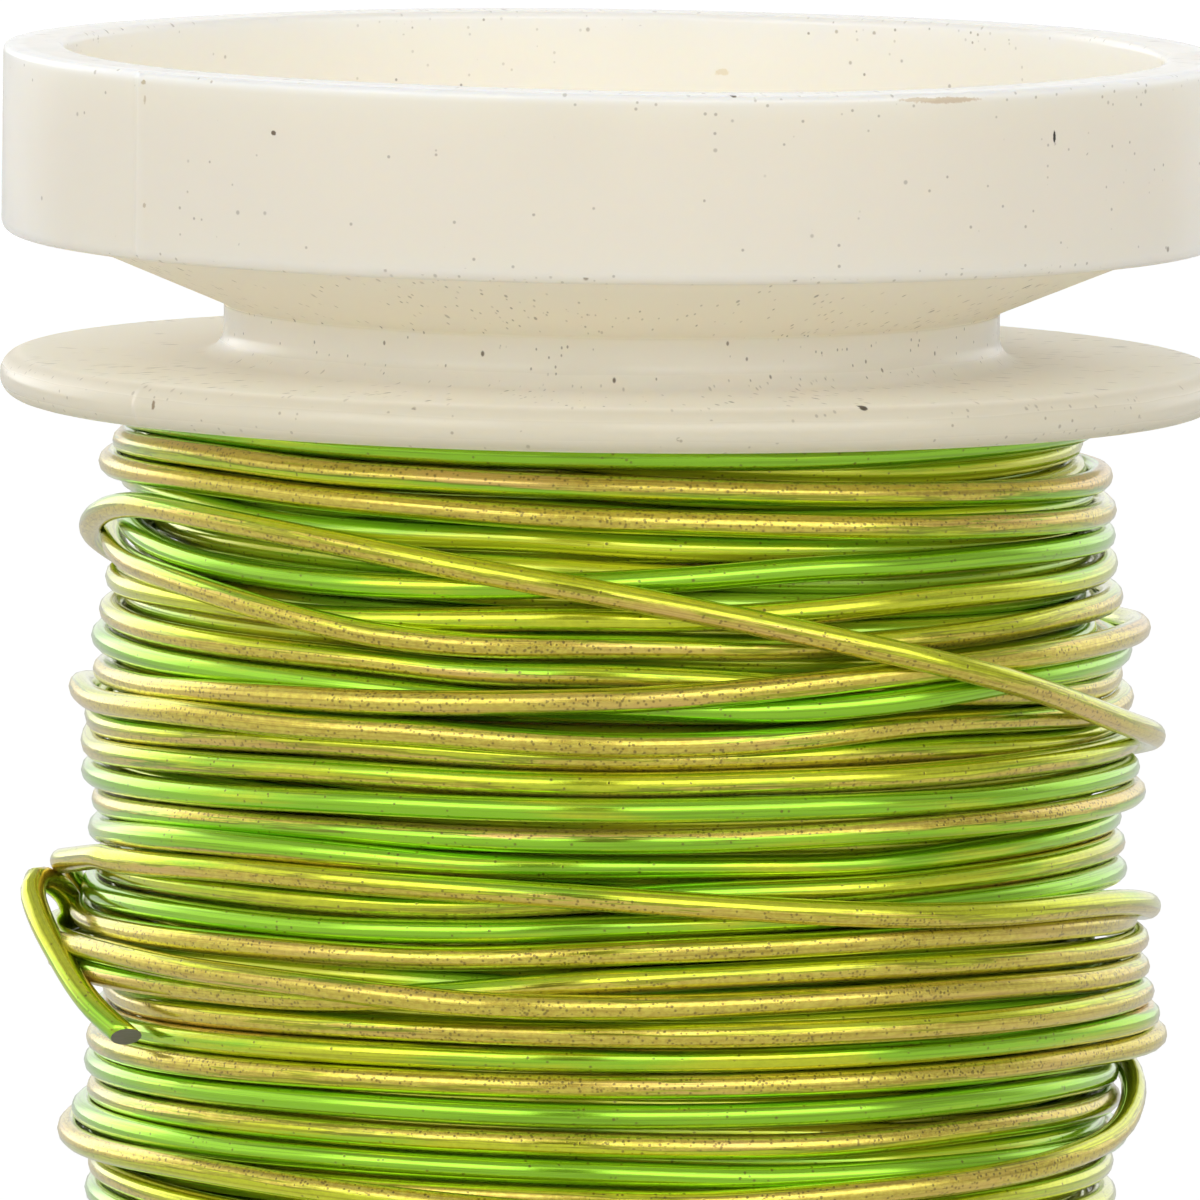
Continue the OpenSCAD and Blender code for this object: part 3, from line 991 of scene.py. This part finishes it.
def make_world():
    """A light tent, brightest in front and behind, with the dark camera in it.

    Where the camera itself looks at the tent, it is white.
    """
    world = bpy.data.worlds.new("studio")
    bpy.context.scene.world = world
    world.use_nodes = True
    n = Nodes(world.node_tree)
    way = n.add("ShaderNodeSeparateXYZ", {0: n.add("ShaderNodeTexCoord").outputs["Generated"]})
    x, y, z = way.outputs
    azimuth = n.math("ARCTAN2", x, n.product(y, -1.0))
    off = n.math("ABSOLUTE", azimuth)

    def past(value, edges):
        return n.between(value, *map(math.radians, edges))

    def blend(factor, a, b):
        return n.add("ShaderNodeMix", {0: factor, 2: a, 3: b}).outputs[0]

    softbox = n.between(z, *SOFTBOX_FROM, LOW_BAND, SOFTBOX)
    to_right = n.between(x, *RIGHT_FROM)
    sides = blend(to_right, SIDE_LEFT, SIDE_RIGHT)
    back = blend(to_right, BACK_LEFT, BACK_RIGHT)
    level = blend(past(off, SIDES_FROM), softbox, sides)
    level = blend(past(off, BACK_FROM), level, back)
    level = blend(past(off, BACKDROP_FROM), level, BACKDROP)
    level = blend(n.between(z, *OVERHEAD_FROM), level, OVERHEAD)
    from_camera = n.math("ABSOLUTE", n.difference(azimuth, math.radians(CAMERA_AZIMUTH)))
    camera = n.difference(1.0, past(from_camera, CAMERA_REACH))
    camera = n.product(camera, n.between(z, *CAMERA_TOP, 1.0, 0.0))
    level = blend(camera, level, CAMERA_DARK)
    seen = n.add("ShaderNodeLightPath").outputs["Is Camera Ray"]
    strength = n.math("MAXIMUM", seen, level)
    light = n.add("ShaderNodeBackground", {"Color": (1, 1, 1, 1), "Strength": strength})
    n.add("ShaderNodeOutputWorld", {"Surface": light.outputs[0]})


def make_floor():
    """A wide pale floor that keeps the spool's shadow."""
    material, n = new_material("studio_floor")
    matt = n.add("ShaderNodeBsdfDiffuse", {"Color": (FLOOR_GREY, FLOOR_GREY, FLOOR_GREY, 1)})
    glow = n.add("ShaderNodeEmission", {"Color": (1, 1, 1, 1)})
    seen = n.add("ShaderNodeLightPath").outputs["Is Camera Ray"]
    n.put(n.product(seen, FLOOR_GLOW), glow.inputs["Strength"])
    both = n.add("ShaderNodeAddShader", {0: matt.outputs[0], 1: glow.outputs[0]})
    n.add("ShaderNodeOutputMaterial", {"Surface": both.outputs[0]})
    far = FLOOR_W / 2
    corners = [(-far, -far, 0), (far, -far, 0), (far, far, 0), (-far, far, 0)]
    floor = make_mesh("floor", corners, [(0, 1, 2, 3)], material, smooth=False)


# ---- the scene ----------------------------------------------------------------------------------

bpy.context.scene.view_settings.view_transform = "Standard"
make_camera()
make_world()
make_floor()

plastic = plastic_material()
wire = wire_material("lacquered_wire", wear=1.0, metal=0.78)
# The wire under the outer turns is less worn, painted lighter for light in the gaps between the
# outer turns, and less metallic.
fresh_gap_lit_wire = wire_material("lacquered_wire_underneath", wear=0.15, metal=0.45)
bare_end = cut_material()

plastic_end("upper_end_moulding", "top_end", plastic, upside_down=True)
plastic_end("lower_end_moulding", "bottom_end", plastic, upside_down=False)
tube = frame["nodes"]["barrel_tube"]
tube.data.materials.clear()
tube.data.materials.append(plastic)

heap, lower_turns, outer_turns, side, green = wind()
lower_route = heap_route(heap, 0, lower_turns)
lower_side = wander(len(lower_route), reach=110, run=90)
lower_green = 0.5 + wander(len(lower_route), reach=0.35, run=70)
lower = wire_tube(
    "wire_lower_layers", lower_route, LOWER_SIDES, fresh_gap_lit_wire, lower_side, lower_green
)
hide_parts("wire_inner_winding")

outer_route = heap_route(heap, lower_turns, lower_turns + outer_turns)
outer = wire_tube("wire_outer_turns", outer_route, OUTER_SIDES, wire, side, green)
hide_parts("wire_outer_layer")

last_route = resampled(last_turns_route(heap, outer_route[0]), LAST_STEP)
on_tail = slice(-round(TAIL_LENGTH / LAST_STEP), None)
last_side = np.full(len(last_route), float(END_TURNS_SIDE))
last_side[on_tail] = TAIL_SIDE
last_side = evened(last_side, passes=6)
last_green = 0.45 + wander(len(last_route), reach=0.25, run=40)
last_green[on_tail] = TAIL_GREEN
last_green = evened(last_green, passes=6)
last = wire_tube("wire_end_turns", last_route, END_SIDES, wire, last_side, last_green, bare_end)
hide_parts("wire_last_turns")
